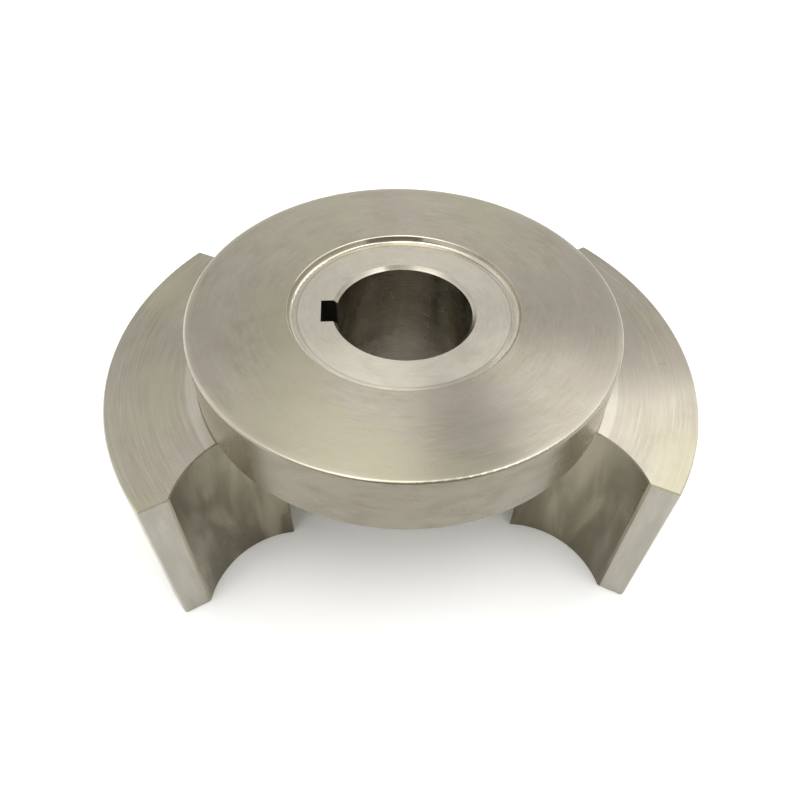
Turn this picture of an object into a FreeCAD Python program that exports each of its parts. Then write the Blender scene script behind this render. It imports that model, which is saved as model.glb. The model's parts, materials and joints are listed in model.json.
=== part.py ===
import FreeCAD, Part
import Sketcher
import math
import os
import re

# A two-wing driver rotor for a keyed shaft.  A round disc carries two thick wings that hang
# from its underside and make the feet.  A flanged sleeve, bored and keyed for the shaft, is
# shrunk into the disc from above.  Each wing is located by two dowels and held by three cap
# screws that come up through its foot.
#
# Frame: millimetres, +Z up along the shaft axis, Z = 0 on the wing feet, +X towards the
# right wing.  The keyway points along -X.

DRIVING_DIMENSIONS = {
    # the whole rotor
    "overall_height": 81.3,
    "edge_break": 0.4,
    # disc
    "disc_radius": 64.5,
    "disc_thickness": 21.0,
    "brim_round": 1.0,
    "recess_radius": 34.9,
    "recess_depth": 2.0,
    "recess_wall_run": 0.7,
    "recess_corner": 1.0,
    "recess_break": 0.2,
    # wings: a ring sector with a flat at each end, then a hollow scoop
    "wing_outer_radius": 92.0,
    "wing_inner_radius": 47.7,
    "wing_end_y": 56.7,
    "lip_y": 52.8,
    "scoop_radius": 28.5,
    "scoop_centre_x": 36.7,
    "scoop_centre_y": 56.3,
    # shaft sleeve: 1 5/8 in bore with a keyway for a 3/8 in square key
    "bore_radius": 20.6375,
    "bore_chamfer": 1.1,
    "keyway_width": 9.525,
    "keyway_reach": 24.98,
    "flange_radius": 31.9,
    "flange_thickness": 6.0,
    "sleeve_radius": 28.0,
    "sleeve_foot": 10.0,
    # fastenings: M8 x 65 cap screws and 6 x 24 dowels, all on one circle
    "fastener_circle": 57.5,
    "screw_spacing": 20.0,
    "screw_radius": 4.0,
    "screw_length": 65.0,
    "head_radius": 6.5,
    "head_height": 8.0,
    "socket_flats": 6.0,
    "socket_depth": 4.0,
    "screw_clearance": 0.5,
    "counterbore_depth": 9.0,
    "tapped_depth": 16.0,
    "dowel_spacing": 10.0,
    "dowel_radius": 3.0,
    "dowel_length": 24.0,
}

# Each wing's turn about the shaft axis, and where its fastenings lie, in steps of their
# spacing from the middle of the wing.  Rear is +Y on both wings.
WING_TURNS = {"right": 0, "left": 180}
SCREW_STEPS = {"right": {"rear": 1, "middle": 0, "front": -1},
               "left": {"rear": -1, "middle": 0, "front": 1}}
DOWEL_STEPS = {"right": {"rear": 1, "front": -1},
               "left": {"rear": -1, "front": 1}}
HEXAGON_SIDES = 6
FULL_TURN = 360
TOLERANCE = 1e-4

WING_TOP = "overall_height - disc_thickness"
RECESS_FLOOR = "overall_height - recess_depth"


def formula_text(formula):
    """Point every alias in a formula at the sheet."""
    def lookup(word):
        return f"<<dims>>.{word[0]}" if word[0] in DRIVING_DIMENSIONS else word[0]
    return re.sub("[a-z_]+", lookup, formula)


def bind(target, prop, formula):
    """Tie one property to a formula written with the sheet's aliases."""
    target.setExpression(prop, formula_text(formula))


def make_sheet():
    sheet = doc.addObject("Spreadsheet::Sheet", "dims")
    for row, (alias, value) in enumerate(DRIVING_DIMENSIONS.items(), start=1):
        sheet.set(f"A{row}", alias)
        sheet.set(f"B{row}", str(value))
        sheet.setAlias(f"B{row}", alias)
    doc.recompute()


# ---- sketches ---------------------------------------------------------------------------

def sketch_on(body, name, plane):
    """A sketch on one of the body's own origin planes."""
    sketch = body.newObject("Sketcher::SketchObject", name)
    planes = [feature for feature in body.Origin.OriginFeatures if feature.Role == plane]
    sketch.AttachmentSupport = (planes[0], [""])
    sketch.MapMode = "FlatFace"
    return sketch


def flat_sketch(body, name, height="0"):
    """A sketch parallel to the body's XY plane, at a height above it."""
    sketch = sketch_on(body, name, "XY_Plane")
    bind(sketch, "AttachmentOffset.Base.z", height)
    return sketch


def set_radius(sketch, geometry, formula):
    """Give an arc or circle a radius: first as it is drawn, then tied to a formula."""
    drawn = sketch.Geometry[geometry].Radius
    index = sketch.addConstraint(Sketcher.Constraint("Radius", geometry, drawn))
    bind(sketch, f"Constraints[{index}]", formula)


def set_x(sketch, geometry, vertex, formula):
    """Give a point its X: first as it is drawn, then tied to a formula."""
    drawn = sketch.getPoint(geometry, vertex).x
    index = sketch.addConstraint(Sketcher.Constraint("DistanceX", -1, 1, geometry, vertex, drawn))
    bind(sketch, f"Constraints[{index}]", formula)


def set_y(sketch, geometry, vertex, formula):
    """Give a point its Y: first as it is drawn, then tied to a formula."""
    drawn = sketch.getPoint(geometry, vertex).y
    index = sketch.addConstraint(Sketcher.Constraint("DistanceY", -1, 1, geometry, vertex, drawn))
    bind(sketch, f"Constraints[{index}]", formula)


def locate(sketch, geometry, vertex, x, y):
    set_x(sketch, geometry, vertex, x)
    set_y(sketch, geometry, vertex, y)


def add_circle(sketch, radius, x="0", y="0"):
    circle = Part.Circle(FreeCAD.Vector(0, 0, 0), FreeCAD.Vector(0, 0, 1), 1.0)
    index = sketch.addGeometry(circle, False)
    set_radius(sketch, index, radius)
    locate(sketch, index, 3, x, y)


def add_polygon(sketch, corners):
    """Straight sides through corners, each given as an (x, y) pair of formulas."""
    count = len(corners)
    turns = [2 * math.pi * k / count for k in range(count + 1)]
    points = [FreeCAD.Vector(math.cos(turn), math.sin(turn), 0) for turn in turns]
    sides = [sketch.addGeometry(Part.LineSegment(a, b), False) for a, b in zip(points, points[1:])]
    for k, (x, y) in enumerate(corners):
        sketch.addConstraint(Sketcher.Constraint("Coincident", sides[k - 1], 2, sides[k], 1))
        locate(sketch, sides[k], 1, x, y)


def add_arc(sketch, centre, start, end):
    """A counter-clockwise arc about a centre, from a start point to an end point."""
    first, last = start - centre, end - centre
    circle = Part.Circle(centre, FreeCAD.Vector(0, 0, 1), first.Length)
    arc = Part.ArcOfCircle(circle, math.atan2(first.y, first.x), math.atan2(last.y, last.x))
    return sketch.addGeometry(arc, False)


def around(radius, angle):
    """The (x, y) formulas of a point on a circle about the shaft axis."""
    return f"{radius} * cos({angle})", f"{radius} * sin({angle})"


def hole_place(turn, step, spacing):
    """The (x, y) formulas of a fastener, some steps round from a wing's middle."""
    return around("fastener_circle", f"{turn} + {step} * {spacing}")


def add_recess_section(sketch):
    """The outer ring of the recess, in a plane through the axis: a level floor round the
    sleeve's flange, and a steep wall up to the disc's face."""
    size = DRIVING_DIMENSIONS
    inner, outer = size["flange_radius"], size["recess_radius"]
    top = size["overall_height"]
    floor = top - size["recess_depth"]
    corners = [FreeCAD.Vector(x, height, 0) for x, height in (
        (inner, top), (inner, floor), (outer - size["recess_wall_run"], floor), (outer, top))]
    lines = [sketch.addGeometry(Part.LineSegment(start, end), False)
             for start, end in zip(corners, corners[1:] + corners[:1])]
    for line, following in zip(lines, lines[1:] + lines[:1]):
        sketch.addConstraint(Sketcher.Constraint("Coincident", line, 2, following, 1))
    formulas = (("flange_radius", "overall_height"), ("flange_radius", RECESS_FLOOR),
                ("recess_radius - recess_wall_run", RECESS_FLOOR), ("recess_radius", "overall_height"))
    for line, (x, height) in zip(lines, formulas):
        locate(sketch, line, 1, x, height)


def add_wing_outline(sketch):
    """The wing seen from above: outer arc, end flat, scoop, inner arc, scoop, end flat."""
    size = DRIVING_DIMENSIONS
    axis = FreeCAD.Vector(0, 0, 0)
    tip_x = math.sqrt(size["wing_outer_radius"] ** 2 - size["wing_end_y"] ** 2)
    lip_rise = size["scoop_centre_y"] - size["lip_y"]
    lip_x = size["scoop_centre_x"] + math.sqrt(size["scoop_radius"] ** 2 - lip_rise ** 2)
    heel_y = size["scoop_centre_y"] - size["scoop_radius"]
    heel_x = math.sqrt(size["wing_inner_radius"] ** 2 - heel_y ** 2)
    centre, tip, lip, heel = ({side: FreeCAD.Vector(x, side * y, 0) for side in (1, -1)} for x, y in (
        (size["scoop_centre_x"], size["scoop_centre_y"]),
        (tip_x, size["wing_end_y"]), (lip_x, size["lip_y"]), (heel_x, heel_y)))

    outer = add_arc(sketch, axis, tip[-1], tip[1])
    rear_flat = sketch.addGeometry(Part.LineSegment(tip[1], lip[1]), False)
    rear_scoop = add_arc(sketch, centre[1], heel[1], lip[1])
    inner = add_arc(sketch, axis, heel[-1], heel[1])
    front_scoop = add_arc(sketch, centre[-1], lip[-1], heel[-1])
    front_flat = sketch.addGeometry(Part.LineSegment(lip[-1], tip[-1]), False)
    joints = ((outer, 2, rear_flat, 1), (rear_flat, 2, rear_scoop, 2), (rear_scoop, 1, inner, 2),
              (inner, 1, front_scoop, 2), (front_scoop, 1, front_flat, 1), (front_flat, 2, outer, 1))
    for joint in joints:
        sketch.addConstraint(Sketcher.Constraint("Coincident", *joint))

    for arc, radius in ((outer, "wing_outer_radius"), (inner, "wing_inner_radius")):
        sketch.addConstraint(Sketcher.Constraint("Coincident", arc, 3, -1, 1))
        set_radius(sketch, arc, radius)
    for sign, scoop, flat, ends in (("", rear_scoop, rear_flat, (1, 2)),
                                    ("-", front_scoop, front_flat, (2, 1))):
        set_radius(sketch, scoop, "scoop_radius")
        locate(sketch, scoop, 3, "scoop_centre_x", f"{sign}scoop_centre_y")
        set_y(sketch, flat, ends[0], f"{sign}wing_end_y")
        set_y(sketch, flat, ends[1], f"{sign}lip_y")


# ---- features ---------------------------------------------------------------------------

def new_body(label):
    body = doc.addObject("PartDesign::Body", label)
    body.Label = label
    return body


def pad(body, name, sketch, height):
    """Grow material upward from a sketch."""
    feature = body.newObject("PartDesign::Pad", name)
    feature.Profile = sketch
    bind(feature, "Length", height)
    doc.recompute()


def must_be_smaller(body, name, before):
    if body.Shape.Volume > before - TOLERANCE:
        raise RuntimeError(f"{name} of {body.Label} cuts nothing")


def pocket(body, name, sketch, depth, upward=False):
    """Cut a sketch downward, or upward, and make sure that it removed something."""
    before = body.Shape.Volume
    feature = body.newObject("PartDesign::Pocket", name)
    feature.Profile = sketch
    feature.Reversed = upward
    bind(feature, "Length", depth)
    doc.recompute()
    must_be_smaller(body, name, before)


def groove(body, name, sketch):
    """Turn a section about the shaft axis and cut it away."""
    before = body.Shape.Volume
    feature = body.newObject("PartDesign::Groove", name)
    feature.Profile = sketch
    feature.ReferenceAxis = (sketch, ["V_Axis"])
    feature.Angle = FULL_TURN
    doc.recompute()
    must_be_smaller(body, name, before)


def dress(body, kind, name, prop, formula, wanted):
    """Put a Chamfer or a Fillet on the edges of the body that pass a test."""
    base = body.Tip
    names = [f"Edge{k}" for k, edge in enumerate(base.Shape.Edges, start=1) if wanted(edge)]
    feature = body.newObject(f"PartDesign::{kind}", name)
    feature.Base = (base, names)
    bind(feature, prop, formula)
    doc.recompute()


def level_at(edge, height):
    """True if every point of the edge is at one height."""
    box = edge.BoundBox
    return abs(box.ZMin - height) < TOLERANCE and abs(box.ZMax - height) < TOLERANCE


def round_edge(edge, radius, heights):
    """True for a circle about the body's own axis, at one of the heights."""
    if not isinstance(edge.Curve, Part.Circle):
        return False
    centred = math.hypot(edge.Curve.Center.x, edge.Curve.Center.y) < TOLERANCE
    sized = abs(edge.Curve.Radius - radius) < TOLERANCE
    return centred and sized and any(level_at(edge, height) for height in heights)


# ---- the pieces -------------------------------------------------------------------------

def make_hub_disc():
    size = DRIVING_DIMENSIONS
    top = size["overall_height"]
    underside = top - size["disc_thickness"]
    body = new_body("hub_disc")

    blank = flat_sketch(body, "disc_blank", WING_TOP)
    add_circle(blank, "disc_radius")
    pad(body, "disc", blank, "disc_thickness")
    seat = flat_sketch(body, "flange_seat_outline", "overall_height")
    add_circle(seat, "flange_radius")
    pocket(body, "flange_seat", seat, "recess_depth + flange_thickness")
    recess = sketch_on(body, "recess_section", "XZ_Plane")
    add_recess_section(recess)
    groove(body, "recess", recess)
    foot_radius = size["recess_radius"] - size["recess_wall_run"]
    dress(body, "Fillet", "recess_corner", "Radius", "recess_corner",
          lambda edge: round_edge(edge, foot_radius, [top - size["recess_depth"]]))
    dress(body, "Chamfer", "recess_break", "Size", "recess_break",
          lambda edge: round_edge(edge, size["recess_radius"], [top]))
    dress(body, "Fillet", "brim_round", "Radius", "brim_round",
          lambda edge: round_edge(edge, size["disc_radius"], [top]))
    dress(body, "Chamfer", "underside_break", "Size", "edge_break",
          lambda edge: round_edge(edge, size["disc_radius"], [underside]))
    hole = flat_sketch(body, "sleeve_hole_outline", RECESS_FLOOR)
    add_circle(hole, "sleeve_radius")
    pocket(body, "sleeve_hole", hole, "disc_thickness")

    tapped = flat_sketch(body, "tapped_hole_outlines", WING_TOP)
    dowelled = flat_sketch(body, "dowel_hole_outlines", WING_TOP)
    for side, turn in WING_TURNS.items():
        for step in SCREW_STEPS[side].values():
            add_circle(tapped, "screw_radius", *hole_place(turn, step, "screw_spacing"))
        for step in DOWEL_STEPS[side].values():
            add_circle(dowelled, "dowel_radius", *hole_place(turn, step, "dowel_spacing"))
    pocket(body, "tapped_holes", tapped, "tapped_depth", upward=True)
    pocket(body, "dowel_holes", dowelled, "dowel_length / 2", upward=True)
    return body


def make_shaft_sleeve():
    size = DRIVING_DIMENSIONS
    floor = size["overall_height"] - size["recess_depth"]
    body = new_body("shaft_sleeve")

    tube = flat_sketch(body, "tube_outline", "sleeve_foot")
    add_circle(tube, "sleeve_radius")
    pad(body, "tube", tube, f"{RECESS_FLOOR} - sleeve_foot")
    flange = flat_sketch(body, "flange_outline", f"{RECESS_FLOOR} - flange_thickness")
    add_circle(flange, "flange_radius")
    pad(body, "flange", flange, "flange_thickness")
    bore = flat_sketch(body, "bore_outline", RECESS_FLOOR)
    add_circle(bore, "bore_radius")
    pocket(body, "bore", bore, "overall_height")
    dress(body, "Chamfer", "bore_mouths", "Size", "bore_chamfer",
          lambda edge: round_edge(edge, size["bore_radius"], [size["sleeve_foot"], floor]))
    dress(body, "Chamfer", "foot_break", "Size", "edge_break",
          lambda edge: round_edge(edge, size["sleeve_radius"], [size["sleeve_foot"]]))

    keyway = flat_sketch(body, "keyway_outline", RECESS_FLOOR)
    half = "keyway_width / 2"
    add_polygon(keyway, [("0", half), ("-keyway_reach", half),
                         ("-keyway_reach", f"-{half}"), ("0", f"-{half}")])
    pocket(body, "keyway", keyway, "overall_height")
    return body


def make_wing(side, turn):
    body = new_body(f"wing_{side}")

    outline = flat_sketch(body, f"{side}_wing_outline")
    add_wing_outline(outline)
    pad(body, f"{side}_wing_block", outline, WING_TOP)
    dress(body, "Chamfer", f"{side}_wing_edges", "Size", "edge_break", lambda edge: True)

    passages = flat_sketch(body, f"{side}_screw_passages_outline", WING_TOP)
    seats = flat_sketch(body, f"{side}_head_seats_outline")
    for step in SCREW_STEPS[side].values():
        place = hole_place(0, step, "screw_spacing")
        add_circle(passages, "screw_radius + screw_clearance", *place)
        add_circle(seats, "head_radius + screw_clearance", *place)
    pocket(body, f"{side}_screw_passages", passages, WING_TOP)
    pocket(body, f"{side}_head_seats", seats, "counterbore_depth", upward=True)
    dowelled = flat_sketch(body, f"{side}_dowel_hole_outlines", WING_TOP)
    for step in DOWEL_STEPS[side].values():
        add_circle(dowelled, "dowel_radius", *hole_place(0, step, "dowel_spacing"))
    pocket(body, f"{side}_dowel_holes", dowelled, "dowel_length / 2")

    body.Placement = FreeCAD.Placement(FreeCAD.Vector(0, 0, 0), FreeCAD.Rotation(turn, 0, 0))
    return body


def move_to_hole(body, place, height):
    """Move a piece from the frame's origin to its hole on the fastener circle."""
    x, y = place
    bind(body, "Placement.Base.x", x)
    bind(body, "Placement.Base.y", y)
    bind(body, "Placement.Base.z", height)


def make_screw(label, place):
    """A hexagon-socket cap screw, head down, with the underside of its head at Z = 0."""
    size = DRIVING_DIMENSIONS
    body = new_body(label)
    head = flat_sketch(body, f"{label}_head_outline", "-head_height")
    add_circle(head, "head_radius")
    pad(body, f"{label}_head", head, "head_height")
    shank = flat_sketch(body, f"{label}_shank_outline")
    add_circle(shank, "screw_radius")
    pad(body, f"{label}_shank", shank, "screw_length")
    ends = ((size["head_radius"], -size["head_height"]), (size["screw_radius"], size["screw_length"]))
    dress(body, "Chamfer", f"{label}_ends", "Size", "edge_break",
          lambda edge: any(round_edge(edge, radius, [height]) for radius, height in ends))
    socket = flat_sketch(body, f"{label}_socket_outline", "-head_height")
    corner = "socket_flats / sqrt(3)"
    turns = [FULL_TURN * k // HEXAGON_SIDES for k in range(HEXAGON_SIDES)]
    add_polygon(socket, [around(corner, turn) for turn in turns])
    pocket(body, f"{label}_socket", socket, "socket_depth", upward=True)
    move_to_hole(body, place, "counterbore_depth")
    return body


def make_dowel(label, place):
    """A plain dowel, half in the wing and half in the disc."""
    size = DRIVING_DIMENSIONS
    body = new_body(label)
    outline = flat_sketch(body, f"{label}_outline", "-dowel_length / 2")
    add_circle(outline, "dowel_radius")
    pad(body, f"{label}_pin", outline, "dowel_length")
    half = size["dowel_length"] / 2
    dress(body, "Chamfer", f"{label}_ends", "Size", "edge_break",
          lambda edge: round_edge(edge, size["dowel_radius"], [-half, half]))
    move_to_hole(body, place, WING_TOP)
    return body


def make_pieces():
    pieces = [make_hub_disc(), make_shaft_sleeve()]
    for side, turn in WING_TURNS.items():
        pieces.append(make_wing(side, turn))
        for name, step in SCREW_STEPS[side].items():
            place = hole_place(turn, step, "screw_spacing")
            pieces.append(make_screw(f"wing_{side}_screw_{name}", place))
        for name, step in DOWEL_STEPS[side].items():
            place = hole_place(turn, step, "dowel_spacing")
            pieces.append(make_dowel(f"wing_{side}_dowel_{name}", place))
    return pieces


def check(pieces):
    """Stop if anything in the document failed, or if a piece isn't one sound solid."""
    for item in doc.Objects:
        if "Invalid" in item.State or "Error" in item.State:
            raise RuntimeError(f"{item.Label} failed: {item.State}")
    for piece in pieces:
        shape = piece.Shape
        if shape.isNull() or not shape.isValid() or len(shape.Solids) != 1:
            raise RuntimeError(f"{piece.Label} is not one valid solid")


doc = FreeCAD.newDocument("driver_rotor")
make_sheet()
pieces = make_pieces()
doc.recompute()
check(pieces)
os.makedirs("parts", exist_ok=True)
for piece in pieces:
    piece.Shape.exportStep(f"parts/{piece.Label}.step")
    box = piece.Shape.optimalBoundingBox()
    print(f"{piece.Label}: volume {piece.Shape.Volume:.0f}, x {box.XMin:.2f} to {box.XMax:.2f}, "
          f"y {box.YMin:.2f} to {box.YMax:.2f}, z {box.ZMin:.2f} to {box.ZMax:.2f}")
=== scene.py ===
import json
import math

import bpy
from mathutils import Matrix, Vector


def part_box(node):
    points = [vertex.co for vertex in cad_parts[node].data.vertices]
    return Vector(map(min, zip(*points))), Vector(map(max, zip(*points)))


# The looks of a two-wing driver rotor: turned and milled stainless steel, seen from above
# the front on a plain pale floor.  Every length is in metres, in the frame of the packed
# model: Z = 0 on the wing feet, +Z along the shaft axis, +X through the right wing.

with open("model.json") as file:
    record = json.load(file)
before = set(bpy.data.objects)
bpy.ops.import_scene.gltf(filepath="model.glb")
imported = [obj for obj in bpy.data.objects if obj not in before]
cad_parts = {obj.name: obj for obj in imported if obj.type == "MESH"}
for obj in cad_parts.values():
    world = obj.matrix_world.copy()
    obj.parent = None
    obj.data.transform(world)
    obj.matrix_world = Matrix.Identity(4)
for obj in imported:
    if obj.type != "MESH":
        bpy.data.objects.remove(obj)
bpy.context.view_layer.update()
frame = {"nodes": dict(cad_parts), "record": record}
nodes = frame["nodes"]

# ---- places on the model --------------------------------------------------------------------
DISC_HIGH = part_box("hub_disc")[1]
WING_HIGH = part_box("wing_right")[1]
TOP = DISC_HIGH.z
DISC_RADIUS = DISC_HIGH.x
BORE = next(mount for mount in frame["record"]["mounts"] if mount["name"] == "shaft_bore")
BORE_RADIUS = BORE["dims"]["r_mm"] / 1000
BRIM_ROUND = 0.001
RECESS_RADIUS = 0.0351
RECESS_FLOOR_RADIUS = 0.0342
FLANGE_RADIUS = 0.0319
KEYWAY_REACH = 0.0262
LIP_Y = 0.0528
SCOOP_CENTRE = (0.0367, 0.0563)
SCOOP_RADIUS = 0.0285
FASTENER_CIRCLE = 0.0575
FASTENER_STEP = math.radians(20)
WING_MIDDLE_Z = (0.03, 0.04)
SEAM_WIDTH = 0.00035
PALE_BAND = 0.0036
WINGS_APART = (-0.04, 0.04)

# ---- machining marks: the spacing of each kind, and scratches as (turn, length, spacing) ----
FINE_PITCH = 0.00035
STREAK_PITCH = 0.0012
BAND_PITCH = 0.0070
SMEAR_PITCH = 0.008
LINE_PITCH = 0.0009
BORE_BAND_PITCH = 0.0060
BORE_PITCH = 0.0012
SCRATCHES = ((0.35, 0.030, 0.00025), (-1.1, 0.022, 0.00022), (2.3, 0.026, 0.00028))
SCRATCH_AMOUNT = 0.16

# ---- camera, floor and light ----------------------------------------------------------------
LENS = 30.49
CAMERA_PLACE = (-0.01255, -0.15509, 0.2132)
CAMERA_HEADING = math.radians(-4.48)
CAMERA_TILT = math.radians(41.66)
CAMERA_ROLL = math.radians(1.90)
FLOOR_HALF = 3.0
FLOOR_DROP = 0.0002
PANEL_PLACE = (0.78, 0.36, 1.0)
PANEL_SIZE = (0.9, 1.0)
PANEL_POWER = 3.0
ROOM_LEVEL = 0.72
FRONT_LEVEL = 2.5
HORIZON_LEVEL = 1.15
DARKEST = 0.16
BACKDROP = 1.02


class Graph:
    """A node tree written as nested calls that return sockets."""

    def __init__(self, owner):
        owner.use_nodes = True
        self.tree = owner.node_tree

    def node(self, kind, **settings):
        made = self.tree.nodes.new("ShaderNode" + kind)
        for key, value in settings.items():
            setattr(made, key, value)
        return made

    def feed(self, socket, value):
        """Give an input either a socket to follow or a plain value."""
        if isinstance(value, bpy.types.NodeSocket):
            self.tree.links.new(value, socket)
        else:
            socket.default_value = value

    def split(self, vector):
        made = self.node("SeparateXYZ")
        self.feed(made.inputs[0], vector)
        return made.outputs

    def join(self, x, y, z):
        made = self.node("CombineXYZ")
        for socket, value in zip(made.inputs, (x, y, z)):
            self.feed(socket, value)
        return made.outputs[0]

    def math(self, operation, *values):
        made = self.node("Math", operation=operation)
        for socket, value in zip(made.inputs, values):
            self.feed(socket, value)
        return made.outputs[0]

    def total(self, *values):
        result = values[0]
        for value in values[1:]:
            result = self.math("ADD", result, value)
        return result

    def times(self, *values):
        result = values[0]
        for value in values[1:]:
            result = self.math("MULTIPLY", result, value)
        return result

    def invert(self, value):
        return self.math("SUBTRACT", 1.0, value)

    def spread(self, value, low, high, to_low=0.0, to_high=1.0):
        """Map a range of values smoothly to another, held at its ends."""
        made = self.node("MapRange", interpolation_type="SMOOTHSTEP")
        for socket, number in zip(made.inputs, (value, low, high, to_low, to_high)):
            self.feed(socket, number)
        return made.outputs[0]

    def near(self, value, centre, far, close):
        """1 close to a centre, falling to 0 far from it."""
        return self.spread(self.math("ABSOLUTE", self.math("SUBTRACT", value, centre)), far, close)

    def mix(self, factor, first, second):
        """Blend two colours."""
        made = self.node("Mix", data_type="RGBA")
        self.feed(made.inputs["Factor"], factor)
        self.feed(made.inputs[6], first)
        self.feed(made.inputs[7], second)
        return made.outputs[2]

    def noise(self, vector, scale=1.0, detail=3.0, roughness=0.55, distortion=0.0):
        made = self.node("TexNoise")
        self.feed(made.inputs["Vector"], vector)
        made.inputs["Scale"].default_value = scale
        made.inputs["Detail"].default_value = detail
        made.inputs["Roughness"].default_value = roughness
        made.inputs["Distortion"].default_value = distortion
        return made.outputs["Fac"]


class Steel(Graph):
    """A steel surface, with the coordinates that machining marks follow."""

    def __init__(self, name):
        self.material = bpy.data.materials.new(name)
        super().__init__(self.material)
        self.shader = self.tree.nodes["Principled BSDF"]
        self.place = self.node("TexCoord").outputs["Object"]
        self.x, self.y, self.z = self.split(self.place)
        self.radius = self.distance(self.x, self.y)
        self.around = [self.math("DIVIDE", along, self.radius) for along in (self.x, self.y)]
        self.normal = self.node("NewGeometry").outputs["Normal"]
        self.flat = self.spread(self.math("ABSOLUTE", self.split(self.normal)[2]), 0.6, 0.8)
        self.upright = self.invert(self.flat)

    def distance(self, x, y):
        return self.math("SQRT", self.total(self.math("MULTIPLY", x, x), self.math("MULTIPLY", y, y)))

    def inside(self, value, limit, blur=0.0002):
        """1 where the value is under the limit."""
        return self.spread(value, limit - blur, limit + blur, 1.0, 0.0)

    def rings(self, pitch, arc, **noise):
        """Noise drawn out along the turning direction: fine across it, long around it."""
        across = self.math("DIVIDE", self.total(self.radius, self.z), pitch)
        return self.noise(self.join(*(self.times(way, arc) for way in self.around), across), **noise)

    def stretched(self, x, y, z, **noise):
        """Noise with its own scale along each axis."""
        scaled = (self.times(along, scale) for along, scale in zip((self.x, self.y, self.z), (x, y, z)))
        return self.noise(self.join(*scaled), **noise)

    def scratches(self, turn, length, spacing, amount):
        """Thin straight scratches, all one way: a noise far finer across than along."""
        cosine, sine = math.cos(turn), math.sin(turn)
        along = self.total(self.times(self.x, cosine / length), self.times(self.y, sine / length))
        across = self.total(self.times(self.x, -sine / spacing), self.times(self.y, cosine / spacing))
        field = self.noise(self.join(along, across, self.times(self.z, 40.0)), detail=1.0)
        return self.times(self.spread(field, 0.70, 0.76), amount)

    def tinted(self, base):
        """Broad soft patches, some towards olive and some towards rose."""
        hue = self.noise(self.place, scale=22.0, detail=2.0)
        base = self.mix(self.spread(hue, 0.50, 0.64, 0.0, 0.7), base, OLIVE)
        return self.mix(self.spread(hue, 0.50, 0.38, 0.0, 0.6), base, ROSE)

    def round_brim(self, outer, top, size):
        """The smooth normal of a rounded edge between a face at the top and a rim."""
        out = self.math("MAXIMUM", self.math("SUBTRACT", self.radius, outer - size), 0.0)
        up = self.math("MAXIMUM", self.math("SUBTRACT", self.z, top - size), 0.0)
        smooth = self.join(*(self.times(way, out) for way in self.around), up)
        unit = self.node("VectorMath", operation="NORMALIZE")
        self.feed(unit.inputs[0], smooth)
        on_brim = self.times(self.invert(self.inside(self.radius, outer - 1.5 * size)),
                             self.invert(self.inside(self.z, top - 1.5 * size)))
        mixed = self.node("Mix", data_type="VECTOR")
        self.feed(mixed.inputs["Factor"], on_brim)
        self.feed(mixed.inputs[4], self.normal)
        self.feed(mixed.inputs[5], unit.outputs[0])
        self.normal = mixed.outputs[1]

    def finish(self, base, roughness, bumps, anisotropy):
        """Join the pattern to the shader.  Bumps are (height, strength, distance)."""
        self.feed(self.shader.inputs["Base Color"], base)
        self.feed(self.shader.inputs["Roughness"], roughness)
        self.shader.inputs["Metallic"].default_value = 1.0
        normal = self.normal
        for height, strength, distance in bumps:
            bump = self.node("Bump")
            bump.inputs["Strength"].default_value = strength
            bump.inputs["Distance"].default_value = distance
            self.feed(bump.inputs["Height"], height)
            self.feed(bump.inputs["Normal"], normal)
            normal = bump.outputs[0]
        self.feed(self.shader.inputs["Normal"], normal)
        self.shader.inputs["Anisotropic"].default_value = anisotropy
        across = self.node("VectorMath", operation="CROSS_PRODUCT")
        self.feed(across.inputs[0], self.normal)
        self.feed(across.inputs[1], self.join(self.times(self.around[1], -1.0), self.around[0], 0.0))
        self.feed(self.shader.inputs["Tangent"], across.outputs[0])
        return self.material


def colour(red, green, blue):
    return (red, green, blue, 1.0)


PALE = colour(0.475, 0.438, 0.362)
MIDDLE = colour(0.43, 0.395, 0.322)
DARK = colour(0.375, 0.342, 0.268)
STAIN = colour(0.28, 0.245, 0.175)
OLIVE = colour(0.445, 0.418, 0.30)
ROSE = colour(0.415, 0.37, 0.32)
SLEEVE_PALE = colour(0.65, 0.61, 0.52)
SLEEVE_MIDDLE = colour(0.61, 0.57, 0.48)
SLEEVE_DARK = colour(0.555, 0.515, 0.43)
BORE_DARK = colour(0.40, 0.37, 0.30)
BORE_PALE = colour(0.54, 0.505, 0.43)
# Keyway walls near black: painted shade in the slot.
KEYWAY = colour(0.16, 0.145, 0.115)
# The rim colours sit well below the top face's: painted shade on the rim.
RIM_SHADED_DARK = colour(0.232, 0.208, 0.158)
RIM_SHADED_PALE = colour(0.282, 0.258, 0.205)
EDGE = colour(0.68, 0.65, 0.56)
SCOOP_PALE = colour(0.33, 0.305, 0.225)
SCOOP_DARK = colour(0.165, 0.145, 0.10)
FLAT_PALE = colour(0.40, 0.38, 0.328)
FLAT_DARK = colour(0.345, 0.327, 0.278)
SCREW_PALE = colour(0.48, 0.47, 0.44)
SCREW_DARK = colour(0.34, 0.33, 0.30)
DOWEL_PALE = colour(0.52, 0.51, 0.48)
DOWEL_DARK = colour(0.42, 0.41, 0.38)


def turned_look(s, pale, middle, dark):
    """Lathe marks: fine rings, broader streaks and soft bands.  Gives the colour and the heights."""
    fine = s.rings(FINE_PITCH, 6.0, detail=3.0, roughness=0.7)
    streaks = s.rings(STREAK_PITCH, 7.0, detail=4.0, roughness=0.65)
    bands = s.rings(BAND_PITCH, 3.0, detail=3.0)
    tone = s.total(s.times(fine, 0.35), s.times(streaks, 0.3), s.times(bands, 0.35))
    base = s.mix(s.spread(tone, 0.36, 0.52), dark, middle)
    base = s.mix(s.spread(tone, 0.48, 0.66), base, pale)
    return base, fine, streaks


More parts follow.
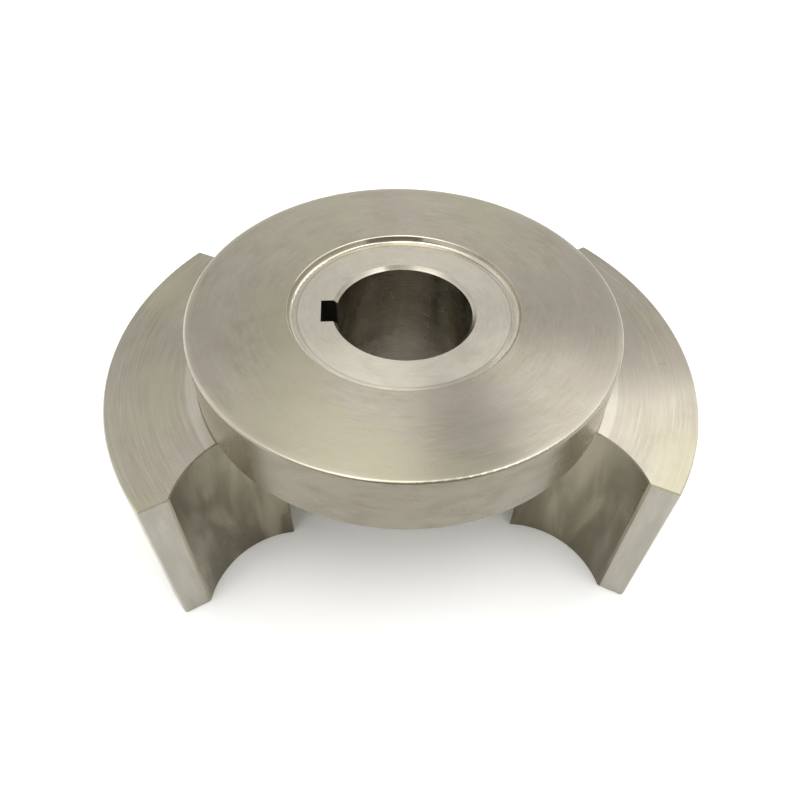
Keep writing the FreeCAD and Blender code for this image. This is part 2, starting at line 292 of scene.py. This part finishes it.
def disc_steel():
    s = Steel("turned_disc")
    s.round_brim(DISC_RADIUS, TOP, BRIM_ROUND)
    base, fine, streaks = turned_look(s, PALE, MIDDLE, DARK)
    clouds = s.noise(s.place, scale=38.0, detail=4.0, roughness=0.6, distortion=0.15)
    smears = s.rings(SMEAR_PITCH, 5.0, detail=4.0, roughness=0.6, distortion=0.2)
    stains = s.total(s.times(clouds, 0.6), s.times(smears, 0.4))
    base = s.mix(s.times(s.spread(stains, 0.50, 0.64), 0.32), base, STAIN)
    # A pale ring along the outer edge of the top face: partly wear, partly a painted edge highlight.
    wear_and_edge_highlight = s.times(s.flat, s.spread(s.radius, DISC_RADIUS - 0.0026, DISC_RADIUS - 0.0006))
    base = s.mix(s.times(wear_and_edge_highlight, 0.35), base, EDGE)
    base = s.tinted(base)
    for turn, length, spacing in SCRATCHES:
        base = s.mix(s.scratches(turn, length, spacing, SCRATCH_AMOUNT), base, EDGE)

    # The rim: real specks and lathe streaks on darker colours, which are painted shade.
    specks = s.stretched(110.0, 110.0, 230.0, detail=4.0, roughness=0.6)
    rim_tone = s.total(s.times(specks, 0.6), s.times(streaks, 0.2), s.times(fine, 0.2))
    rim = s.mix(s.spread(rim_tone, 0.36, 0.58), RIM_SHADED_DARK, RIM_SHADED_PALE)
    # Painted light: the rim turns paler towards the left and right, fixed to the object.
    rim = s.mix(s.spread(s.math("ABSOLUTE", s.around[0]), 0.45, 0.85, 0.0, 1.0), rim, PALE)
    on_rim = s.times(s.upright, s.spread(s.radius, DISC_RADIUS - 0.003, DISC_RADIUS - 0.002))
    base = s.mix(on_rim, base, rim)
    recess = s.inside(s.radius, RECESS_RADIUS)
    floor = s.times(s.inside(s.radius, RECESS_FLOOR_RADIUS, 0.0004), s.flat)
    seam = s.times(s.flat, s.inside(s.radius, FLANGE_RADIUS + SEAM_WIDTH, 0.00015))
    ground = s.mix(s.spread(fine, 0.35, 0.65), SLEEVE_DARK, SLEEVE_PALE)
    base = s.mix(floor, base, s.mix(s.times(seam, 0.35), ground, STAIN))
    rough = s.total(s.spread(clouds, 0.35, 0.65, 0.25, 0.29), s.times(recess, -0.12))
    return s.finish(base, rough, [(fine, 0.2, 0.00004), (streaks, 0.08, 0.00008)], 0.8)


def sleeve_steel():
    s = Steel("turned_sleeve")
    base, fine, streaks = turned_look(s, SLEEVE_PALE, SLEEVE_MIDDLE, SLEEVE_DARK)
    clouds = s.noise(s.place, scale=60.0, detail=4.0, roughness=0.6, distortion=0.15)
    base = s.mix(s.times(s.spread(clouds, 0.5, 0.75), 0.25), base, MIDDLE)

    tool_marks = s.times(s.total(s.math("SINE", s.times(s.z, 2 * math.pi / BORE_PITCH)), 1.0), 0.5)
    heights = s.rings(BORE_BAND_PITCH, 0.8, detail=2.0)
    bore_tone = s.total(s.times(fine, 0.45), s.times(heights, 0.35), s.times(tool_marks, 0.08))
    bore = s.mix(s.spread(bore_tone, 0.32, 0.58), BORE_DARK, BORE_PALE)
    in_bore = s.times(s.upright, s.inside(s.radius, BORE_RADIUS + 0.0004))
    # Painted shade: the keyway walls get the near-black keyway colour.
    in_keyway = s.times(s.upright, s.inside(s.radius, KEYWAY_REACH), s.invert(in_bore))
    base = s.mix(in_bore, base, bore)
    base = s.mix(in_keyway, base, KEYWAY)
    rough = s.spread(clouds, 0.35, 0.65, 0.20, 0.30)
    marks = s.times(tool_marks, in_bore)
    return s.finish(base, rough, [(fine, 0.15, 0.00004), (marks, 0.06, 0.00006)], 0.6)


def wing_steel():
    s = Steel("machined_wing")
    base, fine, streaks = turned_look(s, PALE, MIDDLE, DARK)
    lines = s.rings(LINE_PITCH, 1.2, detail=2.0, roughness=0.8)
    base = s.mix(s.times(s.spread(lines, 0.52, 0.68), 0.16), base, EDGE)
    base = s.mix(s.times(s.spread(lines, 0.44, 0.30), 0.22), base, STAIN)
    clouds = s.noise(s.place, scale=34.0, detail=4.0, roughness=0.6, distortion=0.15)
    spots = s.noise(s.place, scale=190.0, detail=2.0)
    base = s.mix(s.times(s.spread(clouds, 0.5, 0.7), 0.22), base, STAIN)
    base = s.mix(s.times(s.spread(spots, 0.72, 0.78), 0.5), base, STAIN)
    base = s.tinted(base)
    on_top = s.times(s.flat, s.spread(s.z, *WING_MIDDLE_Z))
    # A paler band on the wing top next to the disc.
    beside_disc = s.times(on_top, s.inside(s.radius, DISC_RADIUS + PALE_BAND, 0.0005))
    # A thin dark line on the wing top along the disc: the joint, darkened further as painted shade in the
    # corner against the disc.
    seam = s.times(on_top, s.inside(s.radius, DISC_RADIUS + SEAM_WIDTH, 0.00015))
    base = s.mix(s.times(beside_disc, 0.4), base, EDGE)
    base = s.mix(s.times(seam, 0.7), base, SCOOP_DARK)

    from_scoop = s.distance(*(s.math("SUBTRACT", s.math("ABSOLUTE", along), centre)
                              for along, centre in zip((s.x, s.y), SCOOP_CENTRE)))
    scoop = s.times(s.upright, s.inside(from_scoop, SCOOP_RADIUS + 0.0006))
    runs = s.stretched(110.0, 110.0, 26.0, detail=3.0, roughness=0.5, distortion=0.5)
    cloth = s.stretched(45.0, 45.0, 14.0, detail=2.0, distortion=1.2)
    scoop_tone = s.total(s.times(runs, 0.5), s.times(cloth, 0.5))
    # The right wing's scoops are darker than the left's.
    darker_to_right = s.spread(s.x, *WINGS_APART, 0.04, -0.06)
    # Painted shade: the scoops darken towards the foot, more so on the left wing.
    painted_foot_shade = s.spread(s.x, *WINGS_APART, -0.11, -0.04)
    shaded = s.total(scoop_tone, s.spread(s.z, 0.0, WING_HIGH.z, painted_foot_shade, 0.06), darker_to_right)
    base = s.mix(scoop, base, s.mix(s.spread(shaded, 0.36, 0.6), SCOOP_DARK, SCOOP_PALE))

    facing = s.spread(s.math("ABSOLUTE", s.split(s.normal)[1]), 0.75, 0.85)
    beyond = s.spread(s.math("ABSOLUTE", s.y), LIP_Y - 0.002, LIP_Y - 0.001)
    on_end = s.times(s.upright, s.invert(scoop), facing, beyond)
    ground = s.stretched(260.0, 60.0, 40.0, detail=4.0, roughness=0.6)
    base = s.mix(on_end, base, s.mix(s.spread(ground, 0.35, 0.65), FLAT_DARK, FLAT_PALE))
    rough = s.total(s.spread(clouds, 0.35, 0.65, 0.20, 0.28), s.times(s.upright, 0.05))
    turned = s.invert(s.math("MAXIMUM", scoop, on_end))
    height = s.total(s.times(fine, turned), s.times(runs, scoop))
    coarse = s.times(streaks, turned)
    return s.finish(base, rough, [(height, 0.2, 0.00005), (coarse, 0.08, 0.00008)], 0.8)


def fastener_steel(name, pale, dark, offset):
    """Marks turned about the nearest fastener's own axis: they sit on one circle, a step apart."""
    s = Steel(name)
    angle = s.math("ARCTAN2", s.y, s.x)
    nearest = s.total(s.math("SNAP", s.total(angle, FASTENER_STEP / 2 - offset), FASTENER_STEP), offset)
    centre_x = s.times(s.math("COSINE", nearest), FASTENER_CIRCLE)
    centre_y = s.times(s.math("SINE", nearest), FASTENER_CIRCLE)
    off_axis = s.distance(s.math("SUBTRACT", s.x, centre_x), s.math("SUBTRACT", s.y, centre_y))
    turning = s.join(s.times(off_axis, 4000.0), 0.0, s.times(s.z, 3000.0))
    marks = s.noise(turning, detail=3.0, roughness=0.7)
    clouds = s.noise(s.place, scale=220.0, detail=3.0)
    tone = s.total(s.times(marks, 0.5), s.times(clouds, 0.5))
    base = s.mix(s.spread(tone, 0.38, 0.62), dark, pale)
    rough = s.spread(clouds, 0.35, 0.65, 0.24, 0.36)
    return s.finish(base, rough, [(marks, 0.2, 0.00003)], 0.2)


def make_materials():
    made = {
        "hub_disc": disc_steel(),
        "shaft_sleeve": sleeve_steel(),
        "wing": wing_steel(),
        "screw": fastener_steel("screw_steel", SCREW_PALE, SCREW_DARK, 0.0),
        "dowel": fastener_steel("dowel_steel", DOWEL_PALE, DOWEL_DARK, FASTENER_STEP / 2),
    }
    for name, node in nodes.items():
        kind = next((kind for kind in ("screw", "dowel") if kind in name), None)
        kind = kind or ("wing" if name.startswith("wing") else name)
        node.data.materials.clear()
        node.data.materials.append(made[kind])


# ---- room, light and camera ---------------------------------------------------------------

def add_object(name, data):
    made = bpy.data.objects.new(name, data)
    bpy.context.scene.collection.objects.link(made)
    return made


def make_camera():
    """Above the front, a little to the left, with a wide lens held slightly crooked."""
    data = bpy.data.cameras.new("camera")
    data.lens = LENS
    data.clip_start = 0.01
    camera = add_object("camera", data)
    heading = Matrix.Rotation(CAMERA_HEADING, 4, "Z")
    tilt = Matrix.Rotation(CAMERA_TILT, 4, "X")
    roll = Matrix.Rotation(CAMERA_ROLL, 4, "Z")
    camera.matrix_world = Matrix.Translation(CAMERA_PLACE) @ heading @ tilt @ roll
    bpy.context.scene.camera = camera


def make_floor():
    mesh = bpy.data.meshes.new("floor")
    corners = [(x * FLOOR_HALF, y * FLOOR_HALF, 0) for x, y in ((-1, -1), (1, -1), (1, 1), (-1, 1))]
    mesh.from_pydata(corners, [], [(0, 1, 2, 3)])
    floor = add_object("floor", mesh)
    floor.location.z = -FLOOR_DROP
    material = bpy.data.materials.new("floor")
    graph = Graph(material)
    shader = graph.tree.nodes["Principled BSDF"]
    shader.inputs["Base Color"].default_value = colour(0.98, 0.98, 0.98)
    shader.inputs["Roughness"].default_value = 0.9
    mesh.materials.append(material)


def overhead(room, x, y, z):
    """A pale ceiling with a bright window and a dim gap across it, and a brighter far wall."""
    height = room.math("MAXIMUM", z, 0.05)
    across, along = (room.math("DIVIDE", way, height) for way in (x, y))
    window = room.near(across, -0.06, 0.24, 0.12)
    gap = room.near(across, 0.21, 0.15, 0.06)
    ceiling = room.total(0.25, room.times(window, 0.55), room.times(gap, -0.42))
    ceiling = room.times(room.spread(along, 1.10, 0.80), ceiling, room.spread(z, 0.25, 0.45))
    far_wall = room.times(room.spread(along, 1.25, 1.6), 0.22)
    return room.total(ROOM_LEVEL, ceiling, far_wall)


def high_front(room, towards_front, z):
    return room.times(room.spread(towards_front, 0.2, -0.5), room.spread(z, 0.58, 0.85, 0.0, FRONT_LEVEL))


def darkness(room, towards_front, x, y, z):
    """A dim band low in the front, and the foot and head of an upright shape standing there."""
    band = room.times(room.spread(towards_front, -0.68, -0.82), room.spread(z, 0.66, 0.56),
                      room.spread(z, 0.16, 0.26))
    lean = room.math("DIVIDE", x, room.math("MAXIMUM", room.times(y, -1.0), 0.05))
    legs_and_head = room.math("MAXIMUM", room.spread(z, 0.20, 0.14), room.spread(z, 0.62, 0.70))
    body = room.times(room.near(lean, 0.15, 0.54, 0.46), legs_and_head, room.spread(z, 0.93, 0.87),
                      room.spread(y, -0.2, -0.4))
    return room.math("MAXIMUM", room.times(band, 0.65), body)


def make_world():
    """A plain pale background, and around it the room that the steel mirrors."""
    world = bpy.data.worlds.new("room")
    bpy.context.scene.world = world
    room = Graph(world)
    x, y, z = room.split(room.node("TexCoord").outputs["Generated"])
    level_part = room.math("MAXIMUM", room.math("SUBTRACT", 1.0, room.times(z, z)), 0.01)
    towards_front = room.math("DIVIDE", y, room.math("SQRT", level_part))
    horizon = room.spread(z, 0.24, 0.10)
    dimmer_left = room.spread(x, -0.35, 0.15, 0.90, 1.0)
    glow_left = room.times(room.spread(x, -0.40, -0.65), 0.35)

    lit = room.total(overhead(room, x, y, z), high_front(room, towards_front, z))
    lit = room.times(lit, dimmer_left, room.invert(horizon))
    lit = room.total(lit, room.times(horizon, HORIZON_LEVEL), glow_left)
    dark = darkness(room, towards_front, x, y, z)
    lit = room.times(lit, room.spread(dark, 0.0, 1.0, 1.0, DARKEST))
    seen = room.node("LightPath").outputs["Is Camera Ray"]
    level = room.total(room.times(lit, room.invert(seen)), room.times(seen, BACKDROP))
    background = room.tree.nodes["Background"]
    room.feed(background.inputs["Strength"], level)
    background.inputs["Color"].default_value = colour(1.0, 1.0, 0.99)


def make_light():
    """One wide panel overhead to the right, facing down; its far edge shows in the right wing."""
    data = bpy.data.lights.new("panel_right", "AREA")
    data.shape = "RECTANGLE"
    data.size, data.size_y = PANEL_SIZE
    data.energy = PANEL_POWER
    light = add_object("panel_right", data)
    light.location = PANEL_PLACE


bpy.context.scene.view_settings.view_transform = "Standard"
make_camera()
make_floor()
make_world()
make_light()
make_materials()
